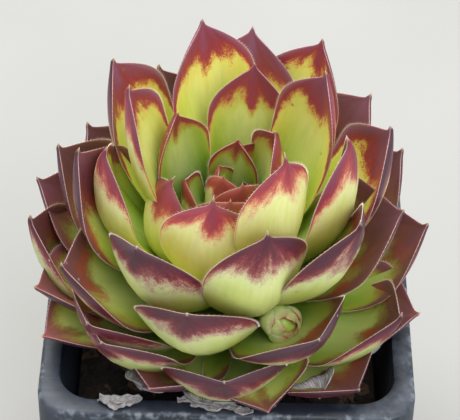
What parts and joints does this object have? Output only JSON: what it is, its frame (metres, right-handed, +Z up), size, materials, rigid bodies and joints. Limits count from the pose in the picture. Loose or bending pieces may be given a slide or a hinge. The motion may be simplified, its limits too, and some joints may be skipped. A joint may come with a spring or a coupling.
{
  "type": "hens and chicks",
  "caption": "Hens and chicks, a low rosette of pointed fleshy leaves with purple tips and one small chick, in a square black nursery pot.",
  "frame": {"origin": "centre of the pot's underside", "axes": "+Z up through the pot, -Y towards the pot's front, which the rosette leans towards"},
  "size_m": [0.0748, 0.0744, 0.1177],
  "materials": {
    "pot": "satin moulded black plastic, dusty",
    "soil": "dark peaty growing mix",
    "mother_rosette": "waxy fleshy leaf, yellow-green with purple-red tips",
    "dried_leaf_skirt": "dry papery leaf, grey-brown",
    "chick_offset": "waxy fleshy leaf, pale green with reddish tips"
  },
  "bodies": {
    "root": {"pot": "pot", "soil": "soil", "mother_rosette": "mother_rosette", "dried_leaf_skirt": "dried_leaf_skirt", "chick_offset": "chick_offset"}
  },
  "joints": []
}
